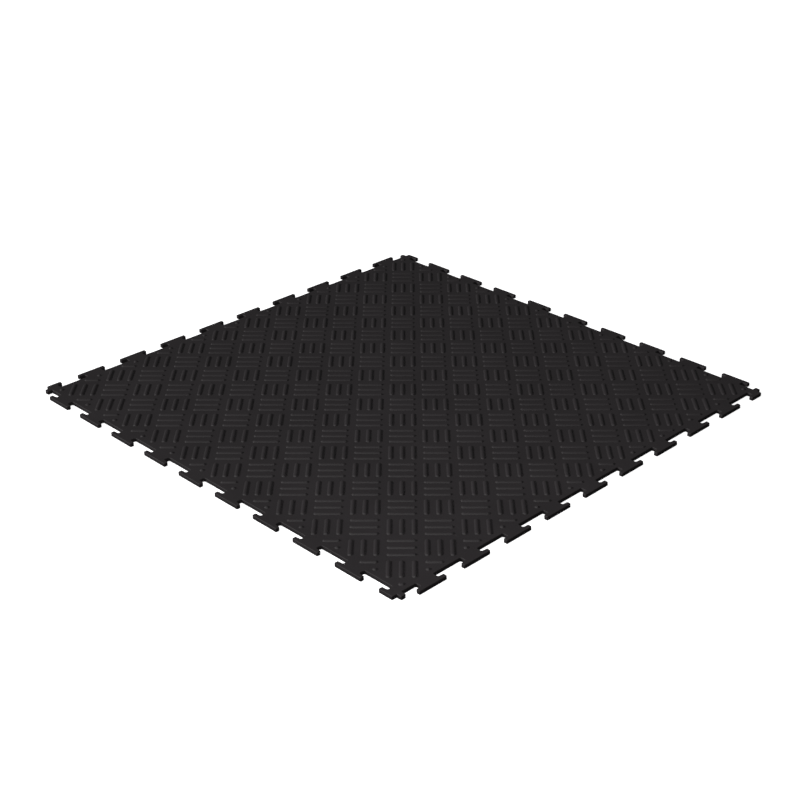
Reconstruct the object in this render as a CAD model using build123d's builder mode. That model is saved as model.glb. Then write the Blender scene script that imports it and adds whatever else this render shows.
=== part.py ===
"""Interlocking floor tile with a raised three-bar checker tread.

The tile lies flat with its underside on Z = 0 and its centre on the origin.
Its body is a square slab. Every side carries a row of T-shaped lock tabs, ended by a
half tab that carries a small corner key. A quarter turn about Z brings the outline onto
itself, so every side locks into the facing side of the next tile.
Front is -Y, right is +X, back is +Y, left is -X.
"""

from math import ceil, sqrt
import os

from build123d import *

# ---------------------------------------------------------------- driving dimensions (mm)
laid_size = 500.0  # square of floor that one tile covers once it is locked in
base_thickness = 3.8  # body and tabs, without the tread bars

tabs_per_side = 9  # whole tabs on a side; a half tab follows the last one
lock_depth = 10.2  # how far a tab stands out of the body
neck_width = 19.2  # the stem of a tab
hook_taper = 0.35  # how much thinner a hook is at its end than at the neck
tip_gap = 0.2  # between a tab's tip and the body of the next tile
flank_gap = 0.6  # between a tab's head and the neck beside it, when locked
hook_gap = 1.2  # between two hooks that hold each other
corner_gap = 0.2  # between two corner keys
clip_gap = 0.2  # between the cut end of a half tab and the next corner key

root_round = 1.5  # inner corner where a neck leaves the body
hook_round = 1.5  # inner corner between neck and hook
tip_round = 0.8  # outer corners of the hooks, the half tab and the corner key
rim_bevel = 0.4  # bevel along the whole upper rim

checker_pitch = 44.6  # from one cell of bars to the next in line, along a side
bars_per_cell = 3
bar_length = 24.2
bar_width = 3.8
bar_height = 1.2
bar_round = 1.0  # rounding of a bar's upper edge
plain_border = 4.65  # strip without tread along the edge of the body
shortest_axis = 0.3  # a bar cut down to less axis than this is a round stud

# ---------------------------------------------------------------- what follows from them
body_side = laid_size - lock_depth - tip_gap
body_half = body_side / 2
tip_line = body_half + lock_depth
lock_pitch = body_side / (tabs_per_side + 0.5)  # puts the half tab's axis on the body's edge
neck_half = neck_width / 2
head_half = (lock_pitch - neck_width) / 2 - flank_gap
hook_thickness = (lock_depth - tip_gap - hook_gap) / 2
hook_line = tip_line - hook_thickness
corner_key = (lock_depth + tip_gap - corner_gap) / 2

# A round is held to its share of the wall that it lies on, because another may share it.
share_of_wall = 0.49
hook_reach = head_half - neck_half
hook_end = hook_thickness - hook_taper
tip_wall = min(hook_reach, hook_end, corner_key)
fitted_hook_round = min(hook_round, share_of_wall * hook_reach)
fitted_tip_round = min(tip_round, share_of_wall * tip_wall)
fitted_bar_round = min(bar_round, 2 * share_of_wall * min(bar_height, bar_width / 2))

tread_half = body_half - plain_border
bar_spacing = checker_pitch / sqrt(2) / bars_per_cell
half_axis = (bar_length - bar_width) / 2  # from a bar's middle to the centre of its round end
axis_limit = tread_half - bar_width / 2  # no bar's axis lies further out than this

# Whole tabs of the front side, by their X; the other sides are quarter turns of it.
first_tab = body_half - tabs_per_side * lock_pitch
tab_places = [first_tab + number * lock_pitch for number in range(tabs_per_side)]


# ---------------------------------------------------------------- outline of one side
def left_half_of_tab(middle):
    """Corners and rounds of a tab from the body up to its tip, along the front side."""
    corners = [
        (middle - neck_half, -body_half),
        (middle - neck_half, -hook_line),
        (middle - head_half, -hook_line - hook_taper),
        (middle - head_half, -tip_line),
    ]
    return corners, [root_round, fitted_hook_round, fitted_tip_round, fitted_tip_round]


def right_half_of_tab(middle):
    """The mirror image of the left half, from the tip back down to the body."""
    corners, rounds = left_half_of_tab(middle)
    mirrored = [(2 * middle - x, y) for x, y in reversed(corners)]
    return mirrored, rounds[::-1]


def corner_end():
    """Cut end of the half tab and the corner key, back to the corner of the body."""
    cut_end = body_half - clip_gap
    key_line = body_half + corner_key
    corners = [
        (cut_end, -tip_line),
        (cut_end, -key_line),
        (key_line, -key_line),
        (key_line, -body_half),
        (body_half, -body_half),
    ]
    return corners, [fitted_tip_round, 0, fitted_tip_round, fitted_tip_round, 0]


def front_side_outline():
    """Corners and rounds of the front side, from one body corner to the next."""
    corners = []
    rounds = []
    for middle in tab_places:
        for half in (left_half_of_tab, right_half_of_tab):
            new_corners, new_rounds = half(middle)
            corners += new_corners
            rounds += new_rounds
    for piece_corners, piece_rounds in (left_half_of_tab(body_half), corner_end()):
        corners += piece_corners
        rounds += piece_rounds
    return corners, rounds


side_corners, side_rounds = front_side_outline()

with BuildLine() as front_side:
    FilletPolyline((-body_half, -body_half), *side_corners, radius=side_rounds[:-1])

# ---------------------------------------------------------------- the whole blank
with BuildPart() as blank:
    with BuildSketch():
        with BuildLine():
            for quarter in range(4):
                add(front_side.line.rotate(Axis.Z, 90 * quarter))
        make_face()
    extrude(amount=base_thickness)
    chamfer(blank.faces().sort_by(Axis.Z)[-1].edges(), length=rim_bevel)

finished = []

# ---------------------------------------------------------------- slab
with BuildPart() as base_slab:
    add(blank.part)
    Box(
        body_side,
        body_side,
        base_thickness,
        align=(Align.CENTER, Align.CENTER, Align.MIN),
        mode=Mode.INTERSECT,
    )
base_slab.part.label = "base_slab"
finished.append(base_slab.part)


# ---------------------------------------------------------------- lock tabs
def cut_from_blank(left_end, right_end):
    """The blank's material in front of the body, between two X values."""
    with BuildPart() as piece:
        add(blank.part)
        with Locations((left_end, -body_half, 0)):
            Box(
                right_end - left_end,
                2 * lock_depth,
                base_thickness,
                align=(Align.MIN, Align.MAX, Align.MIN),
                mode=Mode.INTERSECT,
            )
    return piece.part


last_whole_end = body_half - lock_pitch / 2
whole_tabs = cut_from_blank(-body_half, last_whole_end)
corner_tab = cut_from_blank(last_whole_end, body_half + corner_key)

for quarter, side in enumerate(["front", "right", "back", "left"]):
    side_tabs = whole_tabs.rotate(Axis.Z, 90 * quarter)
    side_tabs.label = f"{side}_lock_tabs"
    finished.append(side_tabs)

for quarter, corner in enumerate(["front_right", "back_right", "back_left", "front_left"]):
    turned_tab = corner_tab.rotate(Axis.Z, 90 * quarter)
    turned_tab.label = f"{corner}_corner_tab"
    finished.append(turned_tab)


# ---------------------------------------------------------------- tread bars
def bar_places(shift, across):
    """Middles of all bars of one direction, on the tread field and round it.

    The cells stand on a square lattice moved by `shift` both ways; `across` is the
    direction, +1 or -1 in X for +1 in Y, in which the bars of a cell follow each other.
    """
    reach = ceil(tread_half / checker_pitch) + 1
    step = bar_spacing / sqrt(2)
    middle_bar = (bars_per_cell - 1) / 2
    places = []
    for column in range(-reach, reach + 1):
        for row in range(-reach, reach + 1):
            for number in range(bars_per_cell):
                along = (number - middle_bar) * step
                x = column * checker_pitch + shift + across * along
                y = row * checker_pitch + shift + along
                places.append((x, y))
    return places


def kept_stretch(place, angle):
    """Middle and length of the stretch of a bar's axis that lies on the tread field."""
    direction = Vector(1, 0).rotate(Axis.Z, angle)
    start = -half_axis
    end = half_axis
    for middle, slope in ((place[0], direction.X), (place[1], direction.Y)):
        crossings = sorted([(-axis_limit - middle) / slope, (axis_limit - middle) / slope])
        start = max(start, crossings[0])
        end = min(end, crossings[1])
    middle = Vector(*place) + direction * ((start + end) / 2)
    return (middle.X, middle.Y), end - start


def stretches_by_length(places, angle):
    """Middles of the bars of one direction, gathered under the length of their axis."""
    gathered = {}
    for place in places:
        middle, length = kept_stretch(place, angle)
        if length >= 0:
            gathered.setdefault(round(length, 3), []).append(middle)
    return gathered


def make_bars(middles, axis_length, angle):
    """Rounded bars of one length standing on the slab, one solid each."""
    with BuildPart() as bars:
        with BuildSketch(Plane.XY.offset(base_thickness)):
            with Locations(*middles):
                if axis_length < shortest_axis:
                    Circle(bar_width / 2)
                else:
                    SlotCenterToCenter(axis_length, bar_width, rotation=angle)
        extrude(amount=bar_height)
        fillet(bars.faces().group_by(Axis.Z)[-1].edges(), radius=fitted_bar_round)
    return bars.part


families = [
    ("falling", bar_places(0, +1), -45),
    ("rising", bar_places(checker_pitch / 2, -1), 45),
]
whole_axis = round(2 * half_axis, 3)
short_bars = []

for name, places, angle in families:
    gathered = stretches_by_length(places, angle)
    whole_bars = make_bars(gathered.pop(whole_axis), whole_axis, angle)
    whole_bars.label = f"{name}_tread_bars"
    finished.append(whole_bars)
    for axis_length, middles in gathered.items():
        short_bars += make_bars(middles, axis_length, angle).solids()

with BuildPart() as border_bars:
    add(short_bars)
border_bars.part.label = "border_tread_bars"
finished.append(border_bars.part)

# ---------------------------------------------------------------- one STEP file per piece
os.makedirs("parts", exist_ok=True)
for piece in finished:
    export_step(piece, f"parts/{piece.label}.step")
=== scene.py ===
"""Looks of the interlocking floor tile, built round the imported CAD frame, in metres.

The tile is one moulding of soft black PVC. One continuous skin stands for the slab and its
lock tabs, and three sets of tread bars stand on it. +Z is up, the underside is on Z = 0.
"""

import math

import bmesh
import bpy
from mathutils import Matrix, Vector


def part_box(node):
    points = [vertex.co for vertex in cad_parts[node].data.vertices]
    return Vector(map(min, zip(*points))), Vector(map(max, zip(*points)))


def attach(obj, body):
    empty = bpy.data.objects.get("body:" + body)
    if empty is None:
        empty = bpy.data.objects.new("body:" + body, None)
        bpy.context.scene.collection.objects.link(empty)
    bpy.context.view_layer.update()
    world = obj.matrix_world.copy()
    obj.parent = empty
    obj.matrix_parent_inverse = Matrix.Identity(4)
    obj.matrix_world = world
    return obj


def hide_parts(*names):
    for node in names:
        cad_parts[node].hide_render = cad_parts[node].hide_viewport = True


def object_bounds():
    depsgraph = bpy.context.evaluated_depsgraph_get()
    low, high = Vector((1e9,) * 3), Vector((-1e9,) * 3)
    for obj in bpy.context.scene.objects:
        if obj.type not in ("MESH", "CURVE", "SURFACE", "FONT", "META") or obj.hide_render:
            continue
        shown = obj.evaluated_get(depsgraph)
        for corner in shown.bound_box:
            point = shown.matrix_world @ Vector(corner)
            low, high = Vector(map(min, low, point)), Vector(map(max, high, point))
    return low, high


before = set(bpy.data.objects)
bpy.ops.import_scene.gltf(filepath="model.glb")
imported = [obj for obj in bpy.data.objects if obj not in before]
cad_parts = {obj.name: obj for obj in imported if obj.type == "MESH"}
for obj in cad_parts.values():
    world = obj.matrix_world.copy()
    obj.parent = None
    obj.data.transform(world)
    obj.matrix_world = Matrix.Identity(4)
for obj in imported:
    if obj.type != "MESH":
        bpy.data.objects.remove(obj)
cad_low, cad_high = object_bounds()

MM = 0.001

# ---------------------------------------------------------------- sizes shared with the CAD
slab_low, slab_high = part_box("base_slab")
BODY_HALF = slab_high.x
THICKNESS = slab_high.z
TIP_LINE = -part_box("front_lock_tabs")[0].y
KEY_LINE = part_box("front_right_corner_tab")[1].x
BAR_HEIGHT = cad_high.z - THICKNESS

TABS_PER_SIDE = 9
NECK_WIDTH = 19.2 * MM
HOOK_TAPER = 0.35 * MM
TIP_GAP = 0.2 * MM
FLANK_GAP = 0.6 * MM
HOOK_GAP = 1.2 * MM
CLIP_GAP = 0.2 * MM
ROOT_ROUND = 1.5 * MM
HOOK_ROUND = 1.5 * MM
TIP_ROUND = 0.8 * MM
NOTCH_ROUND = 0.3 * MM

CHECKER_PITCH = 44.6 * MM
BARS_PER_CELL = 3
BAR_LENGTH = 24.2 * MM
BAR_WIDTH = 3.8 * MM
PLAIN_BORDER = 4.65 * MM
SHORTEST_AXIS = 0.3 * MM

LOCK_PITCH = 2 * BODY_HALF / (TABS_PER_SIDE + 0.5)
LOCK_DEPTH = TIP_LINE - BODY_HALF
NECK_HALF = NECK_WIDTH / 2
HEAD_HALF = (LOCK_PITCH - NECK_WIDTH) / 2 - FLANK_GAP
HOOK_LINE = TIP_LINE - (LOCK_DEPTH - TIP_GAP - HOOK_GAP) / 2
TREAD_HALF = BODY_HALF - PLAIN_BORDER
BAR_SPACING = CHECKER_PITCH / math.sqrt(2) / BARS_PER_CELL
HALF_AXIS = (BAR_LENGTH - BAR_WIDTH) / 2
AXIS_LIMIT = TREAD_HALF - BAR_WIDTH / 2

# ---------------------------------------------------------------- sizes of the finish
UPPER_RIM_ROUND = 0.45 * MM
LOWER_RIM_ROUND = 0.25 * MM
SUPPORT_LOOP = 0.2 * MM
ARC_STEP = math.radians(12)
UPPER_RIM_STEPS = 5
LOWER_RIM_STEPS = 2
BAR_FOOT_WIDTH = 2.25 * MM  # from a bar's axis to where its foot dies out
BAR_SQUARENESS = 2.6  # the higher, the flatter the crown and the steeper the flanks
BAR_FOOT_FLARE = 1.2  # over 1, the foot runs out in a small hollow
BAR_SUNK = 0.1 * MM
BAR_END_STEPS = 10
BAR_RINGS = 8
SAME_POINT = 0.001 * MM


# ================================================================ outline of the tile
def half_tab(middle):
    """Corners and rounds of a tab's left half, from the body to the tip, on the front side."""
    corners = [
        (middle - NECK_HALF, -BODY_HALF),
        (middle - NECK_HALF, -HOOK_LINE),
        (middle - HEAD_HALF, -HOOK_LINE - HOOK_TAPER),
        (middle - HEAD_HALF, -TIP_LINE),
    ]
    return list(zip(corners, [ROOT_ROUND, HOOK_ROUND, TIP_ROUND, TIP_ROUND]))


def mirrored(half, middle):
    """The other half of the same tab, from the tip back to the body."""
    return [((2 * middle - x, y), radius) for (x, y), radius in reversed(half)]


def front_side():
    """All corners of the front side with their rounds, up to the corner of the body."""
    side = []
    first_tab = BODY_HALF - TABS_PER_SIDE * LOCK_PITCH
    for number in range(TABS_PER_SIDE):
        middle = first_tab + number * LOCK_PITCH
        half = half_tab(middle)
        side += half + mirrored(half, middle)
    side += half_tab(BODY_HALF)
    cut_end = BODY_HALF - CLIP_GAP
    side += [
        ((cut_end, -TIP_LINE), TIP_ROUND),
        ((cut_end, -KEY_LINE), NOTCH_ROUND),
        ((KEY_LINE, -KEY_LINE), TIP_ROUND),
        ((KEY_LINE, -BODY_HALF), TIP_ROUND),
        ((BODY_HALF, -BODY_HALF), NOTCH_ROUND),
    ]
    return side


def quarter_turns(side):
    """The side and its three quarter turns, one after the other."""
    outline = []
    for _ in range(4):
        outline += side
        side = [((-y, x), radius) for (x, y), radius in side]
    return outline


def rounded(outline):
    """Points of the outline with every corner rounded, each with its outward normal."""
    points = []
    count = len(outline)
    for index, (corner, radius) in enumerate(outline):
        here = Vector(corner)
        towards = (here - Vector(outline[index - 1][0])).normalized()
        away = (Vector(outline[(index + 1) % count][0]) - here).normalized()
        turn = math.atan2(towards.cross(away), towards.dot(away))
        side = math.copysign(1, turn)
        start = here - towards * radius * math.tan(abs(turn) / 2)
        normal = Vector((towards.y, -towards.x))
        centre = start - normal * side * radius
        steps = max(2, math.ceil(abs(turn) / ARC_STEP))
        for step in range(steps + 1):
            direction = normal.copy()
            direction.rotate(Matrix.Rotation(turn * step / steps, 2))
            points.append((centre + direction * side * radius, direction))
    return points


# ================================================================ the skin
def rim_profile():
    """(inset, height) of each ring of the rim, from the underside up to the top."""
    profile = [(LOWER_RIM_ROUND + SUPPORT_LOOP, 0.0)]
    for step in range(LOWER_RIM_STEPS + 1):
        angle = math.pi / 2 * step / LOWER_RIM_STEPS
        inset = LOWER_RIM_ROUND * (1 - math.sin(angle))
        profile.append((inset, LOWER_RIM_ROUND * (1 - math.cos(angle))))
    for step in range(UPPER_RIM_STEPS + 1):
        angle = math.pi / 2 * step / UPPER_RIM_STEPS
        inset = UPPER_RIM_ROUND * (1 - math.cos(angle))
        profile.append((inset, THICKNESS - UPPER_RIM_ROUND * (1 - math.sin(angle))))
    profile.append((UPPER_RIM_ROUND + SUPPORT_LOOP, THICKNESS))
    return profile


def new_object(name, mesh):
    piece = bpy.data.objects.new(name, mesh)
    bpy.context.scene.collection.objects.link(piece)
    return piece


def finished_mesh(bm, name):
    """A mesh of outward, smooth faces; the bmesh is freed."""
    bmesh.ops.recalc_face_normals(bm, faces=bm.faces)
    for face in bm.faces:
        face.smooth = True
    mesh = bpy.data.meshes.new(name)
    bm.to_mesh(mesh)
    bm.free()
    return mesh


def make_skin():
    """The whole moulding without its tread bars; its two large faces stay flat."""
    bm = bmesh.new()
    points = rounded(quarter_turns(front_side()))
    rings = []
    for inset, height in rim_profile():
        ring = [bm.verts.new((*(place - normal * inset), height)) for place, normal in points]
        rings.append(ring)
    count = len(points)
    for lower, upper in zip(rings, rings[1:]):
        for index in range(count):
            after = (index + 1) % count
            bm.faces.new((lower[index], lower[after], upper[after], upper[index]))
    bm.faces.new(list(reversed(rings[0])))
    bm.faces.new(rings[-1])
    skin = new_object("tile_skin", finished_mesh(bm, "tile_skin"))
    for face in skin.data.polygons:
        is_rim = len(face.vertices) == 4
        face.use_smooth = is_rim
    return skin


# ================================================================ tread bars
def bar_profile():
    """(distance from the axis, height) from the crown out to the foot, and down into the slab."""
    profile = []
    for step in range(1, BAR_RINGS + 1):
        across = math.sin(math.pi / 2 * step / BAR_RINGS)
        height = BAR_HEIGHT * max(0, 1 - across**BAR_SQUARENESS) ** BAR_FOOT_FLARE
        profile.append((BAR_FOOT_WIDTH * across, THICKNESS + height))
    profile.append((BAR_FOOT_WIDTH, THICKNESS - BAR_SUNK))
    return profile


def add_bar(bm, middle, half_axis, angle):
    """One bar: nested slot-shaped rings round its axis line, closed below."""
    along = Vector((math.cos(angle), math.sin(angle)))
    ends = []
    crown_height = THICKNESS + BAR_HEIGHT
    for end in (1, -1):
        centre = middle + along * half_axis * end
        ends.append((end, centre, bm.verts.new((*centre, crown_height))))
    rings = []
    for distance, height in bar_profile():
        ring = []
        for end, centre, _ in ends:
            for step in range(BAR_END_STEPS + 1):
                turn = math.pi * (step / BAR_END_STEPS - 0.5)
                direction = along * end
                direction.rotate(Matrix.Rotation(turn, 2))
                ring.append(bm.verts.new((*(centre + direction * distance), height)))
        rings.append(ring)
    count = len(rings[0])
    half = BAR_END_STEPS + 1
    first, second = ends[0][2], ends[1][2]
    top = rings[0]
    for step in range(BAR_END_STEPS):
        bm.faces.new((first, top[step], top[step + 1]))
        bm.faces.new((second, top[half + step], top[half + step + 1]))
    bm.faces.new((first, top[half - 1], top[half], second))
    bm.faces.new((second, top[count - 1], top[0], first))
    for inner, outer in zip(rings, rings[1:]):
        for index in range(count):
            after = (index + 1) % count
            bm.faces.new((inner[index], outer[index], outer[after], inner[after]))
    bm.faces.new(list(reversed(rings[-1])))


def bar_places(shift, across):
    """Middles of all bars of one direction, on the tread field and round it."""
    reach = math.ceil(TREAD_HALF / CHECKER_PITCH) + 1
    step = BAR_SPACING / math.sqrt(2)
    places = []
    for column in range(-reach, reach + 1):
        for row in range(-reach, reach + 1):
            for number in range(BARS_PER_CELL):
                along = (number - (BARS_PER_CELL - 1) / 2) * step
                x = column * CHECKER_PITCH + shift + across * along
                y = row * CHECKER_PITCH + shift + along
                places.append(Vector((x, y)))
    return places


def kept_stretch(place, angle):
    """Middle and half length of the stretch of a bar's axis that lies on the tread field."""
    direction = Vector((math.cos(angle), math.sin(angle)))
    start = -HALF_AXIS
    end = HALF_AXIS
    for middle, slope in zip(place, direction):
        crossings = sorted([(-AXIS_LIMIT - middle) / slope, (AXIS_LIMIT - middle) / slope])
        start = max(start, crossings[0])
        end = min(end, crossings[1])
    return place + direction * (start + end) / 2, (end - start) / 2


def sorted_bars(places, angle):
    """The bars of one direction as (middle, half axis): the whole ones and the short ones."""
    whole = []
    short = []
    for place in places:
        middle, half_axis = kept_stretch(place, angle)
        if half_axis > HALF_AXIS - SHORTEST_AXIS / 2:
            whole.append((middle, HALF_AXIS))
        elif half_axis >= SHORTEST_AXIS / 2:
            short.append((middle, half_axis))
        elif half_axis >= 0:
            short.append((middle, 0))
    return whole, short


def make_bars(name, bars, angle):
    """One object holding bars of one direction; a bar with no axis is a round stud."""
    bm = bmesh.new()
    for middle, half_axis in bars:
        add_bar(bm, middle, half_axis, angle)
    bmesh.ops.remove_doubles(bm, verts=bm.verts, dist=SAME_POINT)
    return new_object(name, finished_mesh(bm, name))


# The plain border cuts rising bars only, so the border's bars are all of that direction.
FALLING = -math.pi / 4
RISING = math.pi / 4
skin = make_skin()
falling_whole, _ = sorted_bars(bar_places(0, +1), FALLING)
rising_whole, rising_short = sorted_bars(bar_places(CHECKER_PITCH / 2, -1), RISING)
falling_bars = make_bars("falling_bars", falling_whole, FALLING)
rising_bars = make_bars("rising_bars", rising_whole, RISING)
border_bars = make_bars("border_bars", rising_short, RISING)


# ================================================================ material
class Nodes:
    """Short ways to add shader nodes to one material."""

    def __init__(self, name):
        self.material = bpy.data.materials.new(name)
        self.material.use_nodes = True
        self.tree = self.material.node_tree
        self.shader = self.tree.nodes["Principled BSDF"]
        self.place = self.add("ShaderNodeTexCoord").outputs["Object"]

    def add(self, kind, **settings):
        node = self.tree.nodes.new(kind)
        for name, value in settings.items():
            setattr(node, name, value)
        return node

    def join(self, output, target):
        self.tree.links.new(output, target)

    def noise(self, scale, detail=2.0, stretch=None, turn=0.0):
        """Noise between 0 and 1; `stretch` and `turn` draw it out into streaks."""
        texture = self.add("ShaderNodeTexNoise")
        texture.inputs["Scale"].default_value = scale
        texture.inputs["Detail"].default_value = detail
        place = self.place
        if stretch:
            mapping = self.add("ShaderNodeMapping")
            mapping.inputs["Scale"].default_value = stretch
            mapping.inputs["Rotation"].default_value = (0, 0, turn)
            self.join(place, mapping.inputs["Vector"])
            place = mapping.outputs["Vector"]
        self.join(place, texture.inputs["Vector"])
        return texture.outputs["Fac"]

    def spread(self, value, low, high, new_low, new_high):
        """The value's range low..high drawn out to another range, and held within it."""
        node = self.add("ShaderNodeMapRange", interpolation_type="SMOOTHSTEP")
        node.inputs["From Min"].default_value = low
        node.inputs["From Max"].default_value = high
        node.inputs["To Min"].default_value = new_low
        node.inputs["To Max"].default_value = new_high
        self.join(value, node.inputs["Value"])
        return node.outputs["Result"]

    def math(self, operation, first, second):
        node = self.add("ShaderNodeMath", operation=operation)
        for socket, value in zip(node.inputs, (first, second)):
            if isinstance(value, (int, float)):
                socket.default_value = value
            else:
                self.join(value, socket)
        return node.outputs["Value"]

    def blend(self, factor, first, second):
        """A colour between two others, each a colour or the outcome of another node."""
        node = self.add("ShaderNodeMix", data_type="RGBA")
        self.join(factor, node.inputs["Factor"])
        for name, value in (("A", first), ("B", second)):
            socket = next(item for item in node.inputs if item.name == name and item.type == "RGBA")
            if isinstance(value, tuple):
                socket.default_value = value
            else:
                self.join(value, socket)
        return next(item for item in node.outputs if item.type == "RGBA")

    def bump(self, height, distance, strength, below=None):
        node = self.add("ShaderNodeBump")
        node.inputs["Distance"].default_value = distance
        node.inputs["Strength"].default_value = strength
        self.join(height, node.inputs["Height"])
        if below:
            self.join(below, node.inputs["Normal"])
        return node.outputs["Normal"]


PVC_DARK = (0.0162, 0.0138, 0.0149, 1)
PVC_LIGHT = (0.0182, 0.0155, 0.0168, 1)
PVC_FLOW = (0.0198, 0.017, 0.0184, 1)
# Painted highlight: the lighter colour given to the bar crowns and the top rim.
PVC_CROWN_SHEEN = (0.0225, 0.0194, 0.0209, 1)
PVC_SCUFF = (0.034, 0.0305, 0.0322, 1)

# Noise scales are in features per metre.
GRAIN_SCALE = 2600
WAVINESS_SCALE = 130
PATCH_SCALE = 55
MOTTLE_SCALE = 14
FLOW_SCALE = 5
FLOW_TURN = math.radians(20)
FLOW_STRETCH = (1, 7, 1)
SCUFF_STRETCH = (0.035, 1, 1)
SCUFFS = [(28, 900), (-52, 1100), (81, 760)]  # each set's direction in degrees, and its scale

GRAIN_DEPTH = 0.03 * MM
GRAIN_STRENGTH = 0.45
WAVINESS_DEPTH = 0.1 * MM
WAVINESS_STRENGTH = 0.12
SCUFF_CUT = 0.5  # how far a scuff goes into the grain

# How much of its own colour each layer gives where it is strongest.
FLOW_SHARE = 0.35
# The painted crown highlight.
CROWN_SHEEN_SHARE = 0.5
SCUFF_SHARE = 0.4

SMOOTHEST = 0.6
ROUGHEST = 0.68
CROWN_SMOOTHER = 0.1
SCUFF_ROUGHER = 0.08
SPECULAR = 0.3


def soft_pvc(name, sheen_from, sheen_to):
    """Matte black moulded PVC: spark-eroded grain, faint flow marks, scuffs, and a painted
    highlight that lightens the crowns, which are also smoother.

    The painted crown highlight grows from the height sheen_from up to sheen_to. The limits given to
    `spread` with a noise are parts of its own range, so they set how much of the surface a layer
    takes.
    """
    nodes = Nodes(name)
    grain = nodes.noise(GRAIN_SCALE, detail=3)
    mottle = nodes.noise(MOTTLE_SCALE, detail=4)
    flow = nodes.noise(FLOW_SCALE, detail=3, stretch=FLOW_STRETCH, turn=FLOW_TURN)
    patches = nodes.noise(PATCH_SCALE, detail=3)
    scuffs = 0.0
    for degrees, scale in SCUFFS:
        turn = math.radians(degrees)
        streaks = nodes.noise(scale, detail=1, stretch=SCUFF_STRETCH, turn=turn)
        scuffs = nodes.math("MAXIMUM", scuffs, nodes.spread(streaks, 0.69, 0.78, 0, 1))
    scuffs = nodes.math("MULTIPLY", scuffs, nodes.spread(patches, 0.45, 0.7, 0, 1))

    height = nodes.add("ShaderNodeSeparateXYZ")
    nodes.join(nodes.place, height.inputs["Vector"])
    # Painted highlight: colour grows lighter with height, from the rim rounding and the bars'
    # waists up to the crowns, broken up by patches.
    crown_sheen = nodes.spread(height.outputs["Z"], sheen_from, sheen_to, 0, 1)
    crown_sheen = nodes.math("MULTIPLY", crown_sheen, nodes.spread(patches, 0.3, 0.7, 0.55, 1))

    shade = nodes.blend(nodes.spread(mottle, 0.3, 0.7, 0, 1), PVC_DARK, PVC_LIGHT)
    shade = nodes.blend(nodes.spread(flow, 0.35, 0.75, 0, FLOW_SHARE), shade, PVC_FLOW)
    # Painted highlight: the crowns made lighter.
    shade = nodes.blend(nodes.math("MULTIPLY", crown_sheen, CROWN_SHEEN_SHARE), shade, PVC_CROWN_SHEEN)
    shade = nodes.blend(nodes.math("MULTIPLY", scuffs, SCUFF_SHARE), shade, PVC_SCUFF)
    nodes.join(shade, nodes.shader.inputs["Base Color"])

    roughness = nodes.spread(mottle, 0.25, 0.75, SMOOTHEST, ROUGHEST)
    smoother = nodes.math("MULTIPLY", crown_sheen, CROWN_SMOOTHER)
    rougher = nodes.math("MULTIPLY", scuffs, SCUFF_ROUGHER)
    roughness = nodes.math("ADD", nodes.math("SUBTRACT", roughness, smoother), rougher)
    nodes.join(roughness, nodes.shader.inputs["Roughness"])
    nodes.shader.inputs["Specular IOR Level"].default_value = SPECULAR

    waves = nodes.noise(WAVINESS_SCALE, detail=2)
    waviness = nodes.bump(waves, WAVINESS_DEPTH, WAVINESS_STRENGTH)
    depth = nodes.math("SUBTRACT", grain, nodes.math("MULTIPLY", scuffs, SCUFF_CUT))
    normal = nodes.bump(depth, GRAIN_DEPTH, GRAIN_STRENGTH, below=waviness)
    nodes.join(normal, nodes.shader.inputs["Normal"])
    return nodes.material


bar_waist = THICKNESS + BAR_HEIGHT / 2
bar_crown = THICKNESS + BAR_HEIGHT
# Painted highlight: from the top rim's rounding up on the skin, and from the waist up on the bars.
moulding_pvc = soft_pvc("moulding_pvc", THICKNESS - UPPER_RIM_ROUND, bar_crown)
tread_pvc = soft_pvc("tread_pvc", bar_waist, bar_crown)
skin.data.materials.append(moulding_pvc)
for bars in (falling_bars, rising_bars, border_bars):
    bars.data.materials.append(tread_pvc)
for piece in (skin, falling_bars, rising_bars, border_bars):
    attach(piece, "root")

corner_names = ("front_right", "back_right", "back_left", "front_left")
side_names = ("front", "right", "back", "left")
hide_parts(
    "base_slab",
    *(f"{side}_lock_tabs" for side in side_names),
    *(f"{corner}_corner_tab" for corner in corner_names),
)
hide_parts("falling_tread_bars")
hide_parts("rising_tread_bars")
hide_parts("border_tread_bars")


# ================================================================ floor, light and camera
FLOOR_DROP = 0.2 * MM
FLOOR_RADIUS = 18
BACKDROP_ROUND = 12
BACKDROP_STEPS = 12
FLOOR_TURN_STEPS = 64
FLOOR_GLOW = 0.8

KEY_PLACE = (-4.6, -6.9, 3.95)
KEY_SIZE = 1.5
KEY_POWER = 890
FILL_PLACE = (0.5, -0.52, 0.7)
FILL_SIZE = 0.3
FILL_POWER = 3.6
SKY_BELOW = 0.03
SKY_ABOVE = 0.1
HORIZON_HALF = 0.02

CAMERA_AZIMUTH = math.radians(45.177)
CAMERA_ELEVATION = math.radians(27.709)
CAMERA_ROLL = math.radians(-0.138)
CAMERA_DISTANCE = 1.4705
CAMERA_TARGET = Vector((0.0145, -0.0143, 0))
CAMERA_LENS = 67.267
CAMERA_SENSOR = 36


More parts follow.
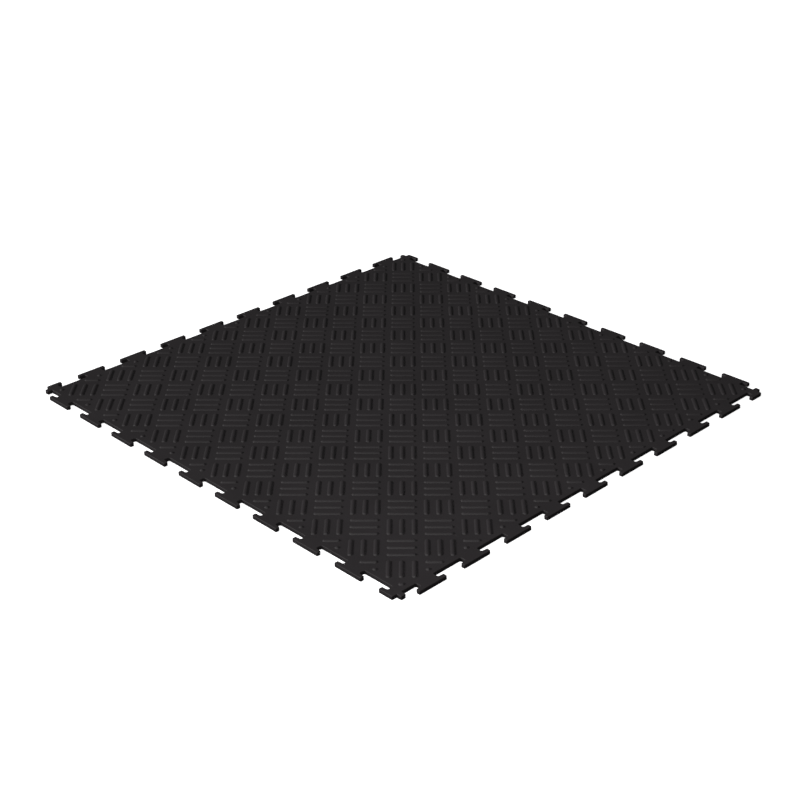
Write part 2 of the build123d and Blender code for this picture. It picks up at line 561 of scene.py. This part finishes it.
def make_floor():
    """A wide pale floor that curves up into a backdrop far away, with a glow of its own.

    No bounced ray sees it, so its glow doesn't light the tile's walls.
    """
    bm = bmesh.new()
    profile = [(0, 0), (FLOOR_RADIUS, 0)]
    for step in range(1, BACKDROP_STEPS + 1):
        angle = math.pi / 2 * step / BACKDROP_STEPS
        across = FLOOR_RADIUS + BACKDROP_ROUND * math.sin(angle)
        profile.append((across, BACKDROP_ROUND * (1 - math.cos(angle))))
    line = [bm.verts.new((across, 0, height - FLOOR_DROP)) for across, height in profile]
    edges = [bm.edges.new(pair) for pair in zip(line, line[1:])]
    bmesh.ops.spin(bm, geom=line + edges, axis=(0, 0, 1), angle=2 * math.pi, steps=FLOOR_TURN_STEPS)
    bmesh.ops.remove_doubles(bm, verts=bm.verts, dist=MM)
    floor = new_object("floor", finished_mesh(bm, "floor"))
    floor.visible_diffuse = False
    floor.visible_glossy = False
    material = bpy.data.materials.new("pale_floor")
    material.use_nodes = True
    shader = material.node_tree.nodes["Principled BSDF"]
    shader.inputs["Base Color"].default_value = (0.85, 0.85, 0.85, 1)
    shader.inputs["Roughness"].default_value = 0.9
    shader.inputs["Specular IOR Level"].default_value = 0.1
    shader.inputs["Emission Color"].default_value = (1, 1, 1, 1)
    shader.inputs["Emission Strength"].default_value = FLOOR_GLOW
    floor.data.materials.append(material)


def area_light(name, place, size, power):
    """A round lamp that faces the middle of the tile."""
    light = bpy.data.lights.new(name, "AREA")
    light.shape = "DISK"
    light.size = size
    light.energy = power
    lamp = bpy.data.objects.new(name, light)
    lamp.location = place
    lamp.rotation_euler = (-Vector(place)).to_track_quat("-Z", "Y").to_euler()
    lamp.visible_camera = False
    bpy.context.scene.collection.objects.link(lamp)


def make_light():
    """A low key light on the front left, a small fill above the near corner, and a dim sky."""
    area_light("key_left", KEY_PLACE, KEY_SIZE, KEY_POWER)
    area_light("near_fill", FILL_PLACE, FILL_SIZE, FILL_POWER)
    world = bpy.data.worlds.new("studio")
    world.use_nodes = True
    tree = world.node_tree
    sky = tree.nodes["Background"]
    sky.inputs["Color"].default_value = (1, 1, 1, 1)
    direction = tree.nodes.new("ShaderNodeTexCoord")
    split = tree.nodes.new("ShaderNodeSeparateXYZ")
    above = tree.nodes.new("ShaderNodeMapRange")
    above.inputs["From Min"].default_value = -HORIZON_HALF
    above.inputs["From Max"].default_value = HORIZON_HALF
    above.inputs["To Min"].default_value = SKY_BELOW
    above.inputs["To Max"].default_value = SKY_ABOVE
    tree.links.new(direction.outputs["Generated"], split.inputs["Vector"])
    tree.links.new(split.outputs["Z"], above.inputs["Value"])
    tree.links.new(above.outputs["Result"], sky.inputs["Strength"])
    bpy.context.scene.world = world
    bpy.context.scene.view_settings.view_transform = "Standard"


def make_camera():
    """A camera on the front right corner's side, at the photograph's distance and angle."""
    level_reach = math.cos(CAMERA_ELEVATION)
    back = Vector(
        (
            math.sin(CAMERA_AZIMUTH) * level_reach,
            -math.cos(CAMERA_AZIMUTH) * level_reach,
            math.sin(CAMERA_ELEVATION),
        )
    )
    data = bpy.data.cameras.new("camera")
    data.sensor_width = CAMERA_SENSOR
    data.lens = CAMERA_LENS
    camera = bpy.data.objects.new("camera", data)
    camera.location = CAMERA_TARGET + back * CAMERA_DISTANCE
    camera.rotation_mode = "QUATERNION"
    level = (-back).to_track_quat("-Z", "Y")
    camera.rotation_quaternion = level @ Matrix.Rotation(CAMERA_ROLL, 3, "Z").to_quaternion()
    bpy.context.scene.collection.objects.link(camera)
    bpy.context.scene.camera = camera


make_floor()
make_light()
make_camera()
